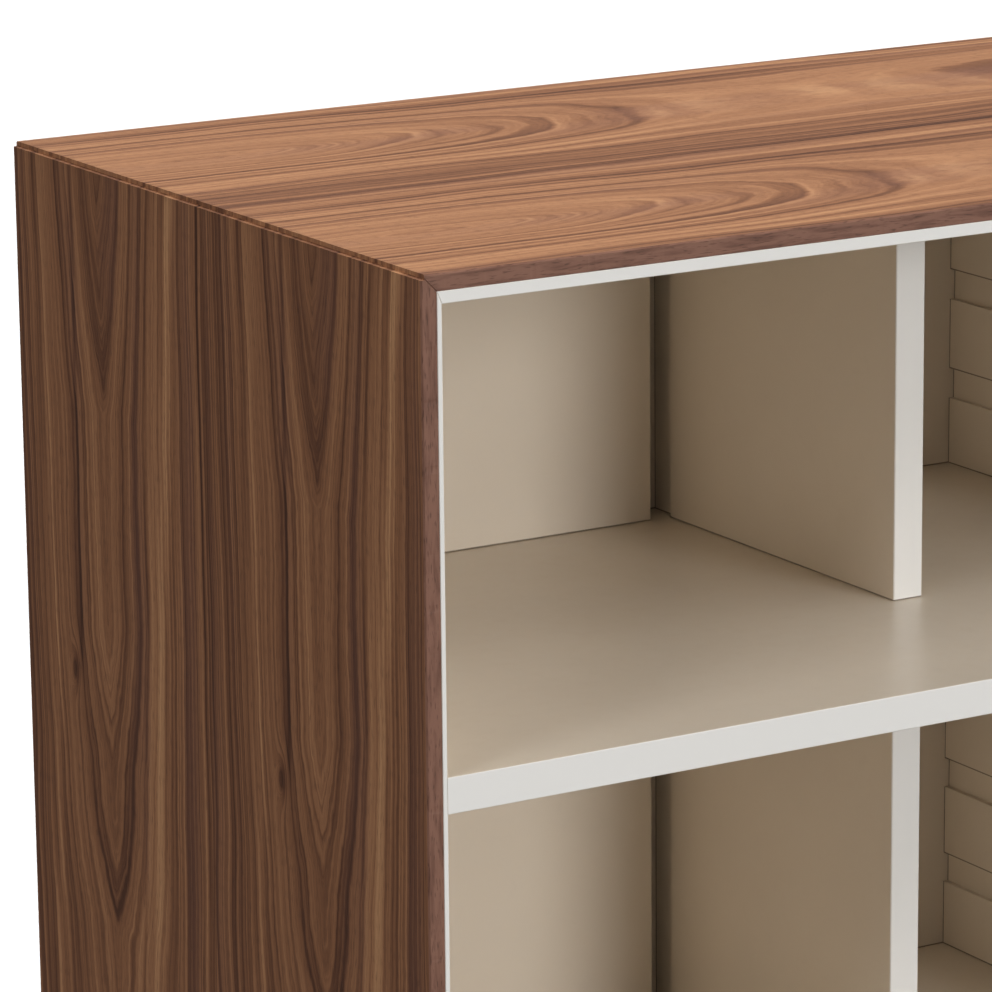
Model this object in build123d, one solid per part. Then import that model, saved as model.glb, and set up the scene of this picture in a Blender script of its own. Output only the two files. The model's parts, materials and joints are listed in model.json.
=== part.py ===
"""Walnut storage unit with a cream lacquered inside: three columns of three open cells.

Millimetres.  +X is the width, +Y points to the wall, +Z is up.  The origin is on the floor,
under the middle of the unit.
"""

from build123d import *
import os

# ---------------------------------------------------------------- driving dimensions
DEPTH = 422.0                       # walnut shell, front edge to rear edge
SKIN = 8.5                          # walnut veneered shell panels
SIDE_LINER = 2.5                    # cream lining board on the two sides
CAP_LINER = 6.0                     # cream lining board under the top and over the bottom
BOARD = 18.0                        # fixed shelves and dividers
WIDE = 355.0                        # clear width of the two outer columns
NARROW = 187.0                      # clear width of the middle column
ROW_NAMES = ("bottom", "middle", "top")
ROW_HEIGHTS = (274.0, 274.0, 224.0)  # clear heights, from the floor up
REBATE_WIDTH = 2.0                  # rebate along the four long outer corners
REBATE_HEIGHT = 2.6
ARRIS = 0.8                         # chamfer on the outer walnut edges
JOINT_EDGE = 0.3                    # fine chamfer on both sides of a joint in the front edge
LACQUER_EDGE = 0.5                  # broken edge on the lacquered boards

DIVIDER_SETBACK = 147.0             # dividers stand back from the front edge
LIPPING_DEPTH = 25.0                # solid front lipping of a divider, which stops the grooves
CABLE_RECESS = 4.0                  # step in a divider behind the front face of the cover panels
GROOVE_HEIGHT = 17.5                # tray grooves, left open between the guide strips
GROOVE_DEPTH = 3.0                  # thickness of the guide strips
GROOVE_FIRST = 38.5                 # first groove above the floor of its cell
GROOVE_PITCH = 58.0
TRAY_BOARD = 16.0                   # sliding trays in the bottom middle cell
TRAY_GROOVES = (1, 3)               # grooves that carry a tray, counted from below
TRAY_NAMES = ("lower_tray", "upper_tray")
TRAY_FACE_GAP = 0.8                 # tray board to the face of a divider
RUNNER_SIDE_GAP = 0.6               # tray runner to the bottom of its groove
RUNNER_HEIGHT = 16.0
RUNNER_LENGTH = 100.0               # the front end of a runner stops on the lipping
TRAY_UNDER_GAP = 0.3
TRAY_END_GAP = 1.5
TRAY_SCOOP_WIDTH = 70.0             # finger scoop in the front edge of a tray
TRAY_SCOOP_DEPTH = 9.0

BACK_FRONT = 384.0                  # front face of the back panel, from the front edge
BACK_BOARD = 6.0
CABLE_HOLE = 60.0                   # behind each cover panel
COVER_FRONT = 361.5                 # front face of the cover panels, from the front edge
COVER_BOARD = 12.0
COVER_GAP = 0.5                     # shadow gap round three sides of a cover panel
CABLE_SLOT = 13.0                   # open slot between a cover panel and its divider
SPACER_SIDE = 30.0
SPACER_INSET = 14.0
BATTEN_DEPTH = 30.0                 # timber frame behind the back panel
BATTEN_WIDTH = 25.0

FOOT_GAP = 12.0                     # floor to the underside of the shell, feet turned in
FOOT_INSET_X = 45.0
FOOT_INSET_Y = 45.0
PAD_RADIUS = 18.0
PAD_THICK = 6.0
PAD_BOTTOM_EDGE = 1.0               # chamfer round the bottom of a pad
PAD_TOP_EDGE = 2.0                  # rounding round its top
COLLAR_RADIUS = 10.0
COLLAR_CLEARANCE = 0.6
FLUTES = 12                         # round grooves in the collar, to grip it by
FLUTE_RADIUS = 1.2
FLUTE_OUT = 0.4                     # flute centres, outside the collar
STUD_RADIUS = 4.0
STUD_FOOT = 3.0                     # foot of the stud above the floor, inside the pad
STUD_REACH = 11.5                   # stud above the underside of the shell
STUD_TIP = 0.8                      # chamfer on the top end of the stud
THREAD_CLEARANCE = 0.05
INSERT_RADIUS = 6.0
INSERT_LENGTH = 12.0

DOWEL_RADIUS = 4.0
DOWEL_IN_SIDE = 7.5                 # depth of a shelf dowel or cam bolt in the side wall
DOWEL_IN_SHELF = 22.0
DOWEL_IN_BOARD = 5.0                # depth of a divider dowel in a shelf, top or bottom
DOWEL_IN_DIVIDER = 20.0
HOLE_CLEARANCE = 0.05               # on the radius of every bored hole
SHELF_DOWEL_Y = (60.0, 192.0, 330.0)   # from the front edge
SHELF_CAM_Y = (92.0, 298.0)
DIVIDER_DOWEL_Y = (185.0, 345.0)
CAM_RADIUS = 7.5
CAM_DEPTH = 12.5
CAM_DISTANCE = 34.0                 # cam centre from the end of its shelf
CAM_BOLT_RADIUS = 3.5
CAM_BOLT_TIP = 3.0                  # cam bolt stops this far short of the cam centre
CAM_NECK_RADIUS = 1.75
CAM_HEAD_RADIUS = 2.975
CAM_HEAD_LENGTH = 2.0
CAM_MOUTH_RADIUS = 3.8              # opening in the cam for the bolt head
CAM_MOUTH_SPARE = 0.6               # the opening runs this far past the tip of the bolt
CAM_CROSS_LENGTH = 9.0              # screwdriver cross in the face of a cam
CAM_CROSS_WIDTH = 1.6
CAM_CROSS_DEPTH = 1.5
CAM_BORE_SPARE = 0.3                # bore deeper than its cam
BORE_SPARE = 0.5                    # bore deeper than its dowel
CUT_OVER = 1.0                      # cutters run this far past the faces they open
SPLINE_THICK = 2.0                  # loose tongue in each mitred corner of the shell
SPLINE_WIDTH = 5.0
SPLINE_STOP = 12.0                  # tongue stops short of both edges
SPLINE_AT = 5.25                    # tongue centre, in from both outer faces

SHELF_SCREW_X = (-400.0, -200.0, 0.0, 200.0, 400.0)   # back panel screws along a shelf
SCREW_RADIUS = 1.5
SCREW_LENGTH = 14.0
HEAD_RADIUS = 3.5
HEAD_THICK = 2.0
HEAD_CROSS_LENGTH = 4.0             # screwdriver cross in a screw head
HEAD_CROSS_WIDTH = 0.9
HEAD_CROSS_DEPTH = 0.8
WALL_PLATE_WIDTH = 70.0
WALL_PLATE_HEIGHT = 62.0
WALL_PLATE_THICK = 2.0
WALL_PLATE_CORNER = 6.0
WALL_PLATE_OVERLAP = 20.0           # how far the plate covers the top batten
WALL_HOLE = 6.5
WALL_HOLE_DROP = 20.0               # wall hole below the underside of the top batten
PLATE_SCREW_SPREAD = 44.0
PLATE_SCREW_LENGTH = 20.0

# ---------------------------------------------------------------- planes worked out from them
SIDE_WALL = SKIN + SIDE_LINER
CAP_WALL = SKIN + CAP_LINER
WIDTH = 2 * SIDE_WALL + 2 * WIDE + NARROW + 2 * BOARD
SHELL_HEIGHT = 2 * CAP_WALL + sum(ROW_HEIGHTS) + 2 * BOARD
X_OUT = WIDTH / 2
X_IN = X_OUT - SIDE_WALL            # inner face of the side lining
X_DIVIDER = NARROW / 2              # face of a divider that looks into the middle column
X_CORE = X_DIVIDER + (BOARD + GROOVE_DEPTH) / 2   # middle of the board behind the guide strips
Y_FRONT = -DEPTH / 2
Y_REAR = DEPTH / 2
Y_DIVIDER = Y_FRONT + DIVIDER_SETBACK
Y_BACK = Y_FRONT + BACK_FRONT
Y_BACK_REAR = Y_BACK + BACK_BOARD
Y_COVER = Y_FRONT + COVER_FRONT
Z_BOTTOM = FOOT_GAP
Z_TOP = Z_BOTTOM + SHELL_HEIGHT
Z_FLOOR = Z_BOTTOM + CAP_WALL       # top face of the bottom lining
Z_CEILING = Z_TOP - CAP_WALL        # under face of the top lining
ROW_FLOORS = [Z_FLOOR + sum(ROW_HEIGHTS[:row]) + row * BOARD for row in range(len(ROW_HEIGHTS))]
DOWEL_BORE = DOWEL_RADIUS + HOLE_CLEARANCE
CAM_BOLT_BORE = CAM_BOLT_RADIUS + HOLE_CLEARANCE
SCREW_BORE = SCREW_RADIUS + HOLE_CLEARANCE


# ---------------------------------------------------------------- helpers
def block(x0, x1, y0, y1, z0, z1):
    """A solid box between two corners."""
    size = (abs(x1 - x0), abs(y1 - y0), abs(z1 - z0))
    centre = ((x0 + x1) / 2, (y0 + y1) / 2, (z0 + z1) / 2)
    return Pos(*centre) * Box(*size)


def rod(start, direction, radius, length):
    """A solid cylinder that starts at a point and runs along a direction."""
    plane = Plane(origin=start, z_dir=direction)
    return plane * Cylinder(radius, length, align=(Align.CENTER, Align.CENTER, Align.MIN))


def prism(outline, y0, y1):
    """A profile drawn in X and Z, run from y0 back to y1."""
    plane = Plane(origin=(0, y1, 0), x_dir=(1, 0, 0), z_dir=(0, -1, 0))
    face = plane * make_face(Polyline(*outline, close=True))
    return extrude(face, amount=y1 - y0)


def only_solid(shape):
    """The one solid that a boolean result must hold."""
    solids = shape.solids()
    assert len(solids) == 1, f"expected one solid, found {len(solids)}"
    return solids[0]


def edges_in_plane(shape, axis, value):
    """Edges of a shape that lie in the plane where that axis has that value."""
    def lies_in(edge):
        spread = getattr(edge.bounding_box().size, axis)
        return abs(getattr(edge.center(), axis) - value) < 1e-4 and spread < 1e-4

    return shape.edges().filter_by(lies_in)


def write(name, *solids):
    """One STEP file for a node, with its solids as separate bodies."""
    shape = solids[0] if len(solids) == 1 else Compound(children=list(solids))
    shape.label = name
    export_step(shape, f"parts/{name}.step")


# ---------------------------------------------------------------- walnut shell
def rebates():
    """The small rebate along each of the four long outer corners."""
    y0 = Y_FRONT - CUT_OVER
    y1 = Y_REAR + CUT_OVER
    levels = ((Z_TOP - REBATE_HEIGHT, Z_TOP + CUT_OVER), (Z_BOTTOM - CUT_OVER, Z_BOTTOM + REBATE_HEIGHT))
    cutters = []
    for z0, z1 in levels:
        cutters.append(block(-X_OUT - CUT_OVER, -X_OUT + REBATE_WIDTH, y0, y1, z0, z1))
        cutters.append(block(X_OUT - REBATE_WIDTH, X_OUT + CUT_OVER, y0, y1, z0, z1))
    return cutters


def spline(side, top):
    """Loose tongue across one mitre, side is -1 or +1, top is -1 or +1."""
    z_outer = Z_TOP if top > 0 else Z_BOTTOM
    centre = (side * (X_OUT - SPLINE_AT), 0, z_outer - top * SPLINE_AT)
    tongue = Box(SPLINE_WIDTH, DEPTH - 2 * SPLINE_STOP, SPLINE_THICK)
    return Pos(*centre) * Rot(0, 45 * side * top, 0) * tongue


def splines():
    return [spline(side, top) for side in (-1, 1) for top in (-1, 1)]


def wall_bores(side):
    """Holes in a side wall for the shelf dowels and cam bolts."""
    holes = []
    for z in shelf_centres():
        for y in SHELF_DOWEL_Y:
            start = (side * X_IN, Y_FRONT + y, z)
            holes.append(rod(start, (side, 0, 0), DOWEL_BORE, DOWEL_IN_SIDE + BORE_SPARE))
        for y in SHELF_CAM_Y:
            start = (side * X_IN, Y_FRONT + y, z)
            holes.append(rod(start, (side, 0, 0), CAM_BOLT_BORE, DOWEL_IN_SIDE + BORE_SPARE))
    return holes


def cap_bores(top):
    """Holes in the top (+1) or the bottom (-1) lining for the divider dowels."""
    z = Z_CEILING if top > 0 else Z_FLOOR
    holes = []
    for x in divider_centres():
        for y in DIVIDER_DOWEL_Y:
            start = (x, Y_FRONT + y, z)
            holes.append(rod(start, (0, 0, top), DOWEL_BORE, DOWEL_IN_BOARD + BORE_SPARE))
    return holes


def eased(panel, axis, outer):
    """A mitred panel with the edges of its outer face broken, and its joints at the front."""
    along = Axis.X if axis == "Z" else Axis.Z
    panel = chamfer(edges_in_plane(panel, axis, outer).filter_by(along), ARRIS)
    joints = [edge for edge in edges_in_plane(panel, "Y", Y_FRONT)
              if abs(getattr(edge.center(), axis) - outer) > 2 * ARRIS]
    return chamfer(joints, JOINT_EDGE)


def shell_cap(top):
    """Top or bottom walnut panel, mitred at both ends."""
    z_outer = Z_TOP if top > 0 else Z_BOTTOM
    z_inner = z_outer - top * SKIN
    outline = [(-X_OUT, z_outer), (X_OUT, z_outer), (X_OUT - SKIN, z_inner), (-X_OUT + SKIN, z_inner)]
    return eased(prism(outline, Y_FRONT, Y_REAR), "Z", z_outer)


def shell_side(side):
    """Left or right walnut panel, mitred at both ends."""
    x_outer = side * X_OUT
    x_inner = side * (X_OUT - SKIN)
    outline = [(x_outer, Z_BOTTOM), (x_outer, Z_TOP), (x_inner, Z_TOP - SKIN), (x_inner, Z_BOTTOM + SKIN)]
    return eased(prism(outline, Y_FRONT, Y_REAR), "X", x_outer)


# ---------------------------------------------------------------- lining
def liner_cap(top):
    """Lining under the top or over the bottom, mitred to the side linings."""
    z_outer = (Z_TOP - SKIN) if top > 0 else (Z_BOTTOM + SKIN)
    z_inner = z_outer - top * CAP_LINER
    x_wide = X_OUT - SKIN
    outline = [(-x_wide, z_outer), (x_wide, z_outer), (X_IN, z_inner), (-X_IN, z_inner)]
    panel = prism(outline, Y_FRONT, Y_REAR)
    return chamfer(edges_in_plane(panel, "Y", Y_FRONT), JOINT_EDGE)


def liner_side(side):
    """Lining on the left or right wall."""
    x_outer = side * (X_OUT - SKIN)
    x_inner = side * X_IN
    outline = [(x_outer, Z_BOTTOM + SKIN), (x_outer, Z_TOP - SKIN), (x_inner, Z_CEILING), (x_inner, Z_FLOOR)]
    panel = prism(outline, Y_FRONT, Y_REAR)
    return chamfer(edges_in_plane(panel, "Y", Y_FRONT), JOINT_EDGE)


# ---------------------------------------------------------------- shelves and dividers
def shelf_bottoms():
    return [ROW_FLOORS[row] + ROW_HEIGHTS[row] for row in range(len(ROW_HEIGHTS) - 1)]


def shelf_centres():
    return [z + BOARD / 2 for z in shelf_bottoms()]


def divider_centres():
    return [side * X_CORE for side in (-1, 1)]


def shelf_dowels():
    dowels = []
    for side in (-1, 1):
        for z in shelf_centres():
            for y in SHELF_DOWEL_Y:
                start = (side * (X_IN + DOWEL_IN_SIDE), Y_FRONT + y, z)
                dowels.append(rod(start, (-side, 0, 0), DOWEL_RADIUS, DOWEL_IN_SIDE + DOWEL_IN_SHELF))
    return dowels


def divider_dowels():
    dowels = []
    for x in divider_centres():
        for floor, height in zip(ROW_FLOORS, ROW_HEIGHTS):
            for y in DIVIDER_DOWEL_Y:
                length = DOWEL_IN_BOARD + DOWEL_IN_DIVIDER
                low = (x, Y_FRONT + y, floor - DOWEL_IN_BOARD)
                high = (x, Y_FRONT + y, floor + height + DOWEL_IN_BOARD)
                dowels.append(rod(low, (0, 0, 1), DOWEL_RADIUS, length))
                dowels.append(rod(high, (0, 0, -1), DOWEL_RADIUS, length))
    return dowels


def cam_places():
    """Side, and centre of each cam on the underside of its shelf."""
    for side in (-1, 1):
        for z in shelf_bottoms():
            for y in SHELF_CAM_Y:
                yield side, side * (X_IN - CAM_DISTANCE), Y_FRONT + y, z


def cam_bolts():
    """Steel bolts from the side walls into the cams, with a round head in a neck."""
    bolts = []
    for side, x, y, z in cam_places():
        start = (side * (X_IN + DOWEL_IN_SIDE), y, z + BOARD / 2)
        length = DOWEL_IN_SIDE + CAM_DISTANCE - CAM_RADIUS
        shank = rod(start, (-side, 0, 0), CAM_BOLT_RADIUS, length)
        neck_start = (start[0] - side * length, y, start[2])
        neck_length = CAM_RADIUS - CAM_BOLT_TIP
        neck = rod(neck_start, (-side, 0, 0), CAM_NECK_RADIUS, neck_length)
        head_start = (neck_start[0] - side * (neck_length - CAM_HEAD_LENGTH), y, start[2])
        head = rod(head_start, (-side, 0, 0), CAM_HEAD_RADIUS, CAM_HEAD_LENGTH)
        bolts.append(only_solid(shank + neck + head))
    return bolts


def cam_locks():
    """Round cams that grip the bolt heads, with a cross slot for the screwdriver."""
    mouth_length = CAM_RADIUS + CUT_OVER - CAM_BOLT_TIP + CAM_MOUTH_SPARE
    locks = []
    for side, x, y, z in cam_places():
        body = rod((x, y, z), (0, 0, 1), CAM_RADIUS, CAM_DEPTH)
        mouth_start = (x + side * (CAM_RADIUS + CUT_OVER), y, z + BOARD / 2)
        mouth = rod(mouth_start, (-side, 0, 0), CAM_MOUTH_RADIUS, mouth_length)
        slot = Pos(x, y, z) * Box(CAM_CROSS_LENGTH, CAM_CROSS_WIDTH, 2 * CAM_CROSS_DEPTH)
        cross = Pos(x, y, z) * Box(CAM_CROSS_WIDTH, CAM_CROSS_LENGTH, 2 * CAM_CROSS_DEPTH)
        locks.append(only_solid(body - mouth - slot - cross))
    return locks


def shelf(index):
    """Fixed shelf from wall to wall, bored for its dowels, cams and the dividers' dowels."""
    z0 = shelf_bottoms()[index]
    z1 = z0 + BOARD
    panel = block(-X_IN, X_IN, Y_FRONT, Y_BACK, z0, z1)
    panel = fillet(edges_in_plane(panel, "Y", Y_FRONT).filter_by(Axis.X), LACQUER_EDGE)
    cuts = []
    for side in (-1, 1):
        for y in SHELF_DOWEL_Y:
            start = (side * X_IN, Y_FRONT + y, z0 + BOARD / 2)
            cuts.append(rod(start, (-side, 0, 0), DOWEL_BORE, DOWEL_IN_SHELF + BORE_SPARE))
        for y in SHELF_CAM_Y:
            start = (side * X_IN, Y_FRONT + y, z0 + BOARD / 2)
            cuts.append(rod(start, (-side, 0, 0), CAM_BOLT_BORE, CAM_DISTANCE))
            centre = (side * (X_IN - CAM_DISTANCE), Y_FRONT + y, z0)
            cuts.append(rod(centre, (0, 0, 1), CAM_RADIUS + HOLE_CLEARANCE, CAM_DEPTH + CAM_BORE_SPARE))
    for x in divider_centres():
        for y in DIVIDER_DOWEL_Y:
            for z, direction in ((z0, 1), (z1, -1)):
                start = (x, Y_FRONT + y, z)
                cuts.append(rod(start, (0, 0, direction), DOWEL_BORE, DOWEL_IN_BOARD + BORE_SPARE))
    for x in SHELF_SCREW_X:
        cuts.append(screw_bore((x, Y_BACK, z0 + BOARD / 2)))
    return only_solid(panel - cuts)


def groove_bottoms(row):
    """Undersides of the tray grooves in one row of the middle column."""
    floor = ROW_FLOORS[row]
    ceiling = floor + ROW_HEIGHTS[row]
    bottoms = []
    z = floor + GROOVE_FIRST
    while z + GROOVE_HEIGHT < ceiling:
        bottoms.append(z)
        z += GROOVE_PITCH
    return bottoms


def divider(row, side):
    """Upright board between two columns, behind its lipping and beside its guide strips."""
    z0 = ROW_FLOORS[row]
    z1 = z0 + ROW_HEIGHTS[row]
    x_outside = side * (X_DIVIDER + BOARD)
    panel = block(side * (X_DIVIDER + GROOVE_DEPTH), x_outside, Y_DIVIDER + LIPPING_DEPTH, Y_BACK, z0, z1)
    ends = edges_in_plane(panel, "X", x_outside).filter_by(Axis.Y)
    panel = chamfer(ends, LACQUER_EDGE)
    cuts = [block(side * (X_DIVIDER + BOARD - CABLE_RECESS), side * (X_DIVIDER + BOARD + CUT_OVER),
                  Y_COVER, Y_BACK + CUT_OVER, z0 - CUT_OVER, z1 + CUT_OVER)]
    x_centre = side * X_CORE
    for y in DIVIDER_DOWEL_Y:
        for z, direction in ((z0, 1), (z1, -1)):
            start = (x_centre, Y_FRONT + y, z)
            cuts.append(rod(start, (0, 0, direction), DOWEL_BORE, DOWEL_IN_DIVIDER + BORE_SPARE))
    for z in divider_screw_heights(row):
        cuts.append(screw_bore((x_centre, Y_BACK, z)))
    return only_solid(panel - cuts)


def divider_lippings():
    """Full thickness front lipping of every divider."""
    lippings = []
    for side in (-1, 1):
        for floor, height in zip(ROW_FLOORS, ROW_HEIGHTS):
            lipping = block(side * X_DIVIDER, side * (X_DIVIDER + BOARD),
                            Y_DIVIDER, Y_DIVIDER + LIPPING_DEPTH, floor, floor + height)
            rim = [edge for edge in lipping.edges() if edge.center().Y < Y_DIVIDER + 0.9 * LIPPING_DEPTH]
            lippings.append(chamfer(rim, LACQUER_EDGE))
    return lippings


def guide_strips(row):
    """Strips on both sides of a middle cell; the trays run in the gaps between them."""
    grooves = groove_bottoms(row)
    lows = [ROW_FLOORS[row]] + [z + GROOVE_HEIGHT for z in grooves]
    highs = grooves + [ROW_FLOORS[row] + ROW_HEIGHTS[row]]
    strips = []
    for side in (-1, 1):
        for z0, z1 in zip(lows, highs):
            strips.append(block(side * X_DIVIDER, side * (X_DIVIDER + GROOVE_DEPTH),
                                Y_DIVIDER + LIPPING_DEPTH, Y_BACK, z0, z1))
    return strips


# ---------------------------------------------------------------- sliding trays
def tray(groove):
    """Flat tray in the bottom middle cell, with a finger scoop in its front edge."""
    z0 = groove_bottoms(0)[groove] + TRAY_UNDER_GAP
    half = X_DIVIDER - TRAY_FACE_GAP
    y0 = Y_DIVIDER + TRAY_END_GAP
    y1 = Y_BACK - TRAY_END_GAP
    board = block(-half, half, y0, y1, z0, z0 + TRAY_BOARD)
    half_scoop = TRAY_SCOOP_WIDTH / 2
    radius = (half_scoop ** 2 + TRAY_SCOOP_DEPTH ** 2) / (2 * TRAY_SCOOP_DEPTH)
    scoop_centre = (0, y0 + TRAY_SCOOP_DEPTH - radius, z0 - CUT_OVER)
    board -= rod(scoop_centre, (0, 0, 1), radius, TRAY_BOARD + 2 * CUT_OVER)
    front = board.edges().filter_by(lambda edge: edge.center().Y < y0 + 1.1 * TRAY_SCOOP_DEPTH
                                    and edge.bounding_box().size.Z < 0.01)
    return only_solid(chamfer(front, LACQUER_EDGE))


def tray_runners(groove):
    """Runners on both edges of a tray; they slide in the grooves up to the lippings."""
    z0 = groove_bottoms(0)[groove] + TRAY_UNDER_GAP
    y1 = Y_BACK - TRAY_END_GAP
    inner = X_DIVIDER - TRAY_FACE_GAP
    outer = X_DIVIDER + GROOVE_DEPTH - RUNNER_SIDE_GAP
    return [block(side * inner, side * outer, y1 - RUNNER_LENGTH, y1, z0, z0 + RUNNER_HEIGHT)
            for side in (-1, 1)]


# ---------------------------------------------------------------- back, covers and battens
def cell_columns():
    """Side and inner and outer faces of the two wide columns."""
    for side in (-1, 1):
        yield side, X_DIVIDER + BOARD, X_IN


def cable_hole_centres():
    """One hole behind each cover panel; the top pair also reaches the wall plates."""
    for side, inner, outer in cell_columns():
        for row, floor in enumerate(ROW_FLOORS):
            z = wall_hole_height() if ROW_NAMES[row] == "top" else floor + ROW_HEIGHTS[row] / 2
            yield side * (inner + outer) / 2, z


def wall_hole_height():
    return Z_CEILING - BATTEN_WIDTH - WALL_HOLE_DROP


def divider_screw_heights(row):
    third = ROW_HEIGHTS[row] / 3
    return [ROW_FLOORS[row] + third, ROW_FLOORS[row] + 2 * third]


def back_screw_places():
    for z in shelf_centres():
        for x in SHELF_SCREW_X:
            yield x, z
    for x in divider_centres():
        for row in range(len(ROW_HEIGHTS)):
            for z in divider_screw_heights(row):
                yield x, z


def screw_bore(end):
    """Hole in the rear edge of a shelf or divider for a back panel screw."""
    return rod(end, (0, -1, 0), SCREW_BORE, SCREW_LENGTH - BACK_BOARD + BORE_SPARE)


def screw(x, y, z, length):
    """Pan head screw whose head sits on the rear face at y."""
    head = rod((x, y + HEAD_THICK, z), (0, -1, 0), HEAD_RADIUS, HEAD_THICK)
    shank = rod((x, y, z), (0, -1, 0), SCREW_RADIUS, length)
    slot = Pos(x, y + HEAD_THICK, z) * Box(HEAD_CROSS_LENGTH, 2 * HEAD_CROSS_DEPTH, HEAD_CROSS_WIDTH)
    cross = Pos(x, y + HEAD_THICK, z) * Box(HEAD_CROSS_WIDTH, 2 * HEAD_CROSS_DEPTH, HEAD_CROSS_LENGTH)
    return only_solid(head + shank - slot - cross)


def back_panel():
    panel = block(-X_IN, X_IN, Y_BACK, Y_BACK_REAR, Z_FLOOR, Z_CEILING)
    through = BACK_BOARD + 2 * CUT_OVER
    cuts = []
    for x, z in cable_hole_centres():
        cuts.append(rod((x, Y_BACK - CUT_OVER, z), (0, 1, 0), CABLE_HOLE / 2, through))
    for x, z in back_screw_places():
        cuts.append(rod((x, Y_BACK - CUT_OVER, z), (0, 1, 0), SCREW_BORE, through))
    return only_solid(panel - cuts)


def cover_span(side):
    """Ends of a cover panel: tight to the side wall, open at the divider."""
    wall_end = side * (X_IN - COVER_GAP)
    slot_end = side * (X_DIVIDER + BOARD + CABLE_SLOT)
    return wall_end, slot_end


def cover_panel(row, side):
    z0 = ROW_FLOORS[row] + COVER_GAP
    z1 = ROW_FLOORS[row] + ROW_HEIGHTS[row] - COVER_GAP
    wall_end, slot_end = cover_span(side)
    panel = block(wall_end, slot_end, Y_COVER, Y_COVER + COVER_BOARD, z0, z1)
    slot_edge = edges_in_plane(panel, "Y", Y_COVER).filter_by(Axis.Z).sort_by(Axis.X)[0 if side > 0 else -1]
    return fillet(slot_edge, LACQUER_EDGE)


def cover_spacers():
    """Four blocks behind each cover panel keep it off the back panel."""
    blocks = []
    for side in (-1, 1):
        wall_end, slot_end = cover_span(side)
        for row, floor in enumerate(ROW_FLOORS):
            for x in (wall_end - side * (SPACER_INSET + SPACER_SIDE / 2),
                      slot_end + side * (SPACER_INSET + SPACER_SIDE / 2)):
                for z in (floor + SPACER_INSET + SPACER_SIDE / 2,
                          floor + ROW_HEIGHTS[row] - SPACER_INSET - SPACER_SIDE / 2):
                    blocks.append(block(x - SPACER_SIDE / 2, x + SPACER_SIDE / 2,
                                        Y_COVER + COVER_BOARD, Y_BACK,
                                        z - SPACER_SIDE / 2, z + SPACER_SIDE / 2))
    return blocks


def batten_cap(top):
    """Horizontal timber behind the back panel."""
    z_wall = Z_CEILING if top > 0 else Z_FLOOR
    batten = block(-X_IN, X_IN, Y_BACK_REAR, Y_BACK_REAR + BATTEN_DEPTH, z_wall, z_wall - top * BATTEN_WIDTH)
    if top < 0:
        return batten
    for x in wall_plate_centres():
        for offset in (-PLATE_SCREW_SPREAD / 2, PLATE_SCREW_SPREAD / 2):
            start = (x + offset, Y_BACK_REAR + BATTEN_DEPTH, plate_screw_height())
            batten -= rod(start, (0, -1, 0), SCREW_BORE, PLATE_SCREW_LENGTH + BORE_SPARE)
    return only_solid(batten)


def batten_side(side):
    """Upright timber behind the back panel."""
    return block(side * X_IN, side * (X_IN - BATTEN_WIDTH), Y_BACK_REAR, Y_BACK_REAR + BATTEN_DEPTH,
                 Z_FLOOR + BATTEN_WIDTH, Z_CEILING - BATTEN_WIDTH)


# ---------------------------------------------------------------- wall plates
def wall_plate_centres():
    return [side * (inner + outer) / 2 for side, inner, outer in cell_columns()]


def plate_screw_height():
    return Z_CEILING - BATTEN_WIDTH + WALL_PLATE_OVERLAP / 2


def wall_plate(x):
    """Steel plate on the top batten, with the hole for a wall screw below it."""
    z1 = Z_CEILING - BATTEN_WIDTH + WALL_PLATE_OVERLAP
    y0 = Y_BACK_REAR + BATTEN_DEPTH
    plate = block(x - WALL_PLATE_WIDTH / 2, x + WALL_PLATE_WIDTH / 2, y0, y0 + WALL_PLATE_THICK,
                  z1 - WALL_PLATE_HEIGHT, z1)
    plate = fillet(plate.edges().filter_by(Axis.Y), WALL_PLATE_CORNER)
    hole_start = (x, y0 - CUT_OVER, wall_hole_height())
    cuts = [rod(hole_start, (0, 1, 0), WALL_HOLE / 2, WALL_PLATE_THICK + 2 * CUT_OVER)]
    for offset in (-PLATE_SCREW_SPREAD / 2, PLATE_SCREW_SPREAD / 2):
        centre = (x + offset, y0, plate_screw_height())
        plane = Plane(origin=centre, z_dir=(0, 1, 0))
        cuts.append(plane * Cone(SCREW_BORE, HEAD_RADIUS + HOLE_CLEARANCE, WALL_PLATE_THICK,
                                 align=(Align.CENTER, Align.CENTER, Align.MIN)))
    return only_solid(plate - cuts)


def plate_screws():
    """Countersunk screws that hold the wall plates, flush with the plate."""
    screws = []
    y0 = Y_BACK_REAR + BATTEN_DEPTH
    for x in wall_plate_centres():
        for offset in (-PLATE_SCREW_SPREAD / 2, PLATE_SCREW_SPREAD / 2):
            centre = (x + offset, y0, plate_screw_height())
            plane = Plane(origin=centre, z_dir=(0, 1, 0))
            head = plane * Cone(SCREW_RADIUS, HEAD_RADIUS, WALL_PLATE_THICK,
                                align=(Align.CENTER, Align.CENTER, Align.MIN))
            shank = rod(centre, (0, -1, 0), SCREW_RADIUS, PLATE_SCREW_LENGTH)
            screws.append(only_solid(head + shank))
    return screws


# ---------------------------------------------------------------- levelling feet
FEET = {
    "front_left": (-1, -1),
    "front_right": (1, -1),
    "rear_left": (-1, 1),
    "rear_right": (1, 1),
}


def foot_centre(x_side, y_side):
    return x_side * (X_OUT - FOOT_INSET_X), y_side * (DEPTH / 2 - FOOT_INSET_Y)


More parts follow.
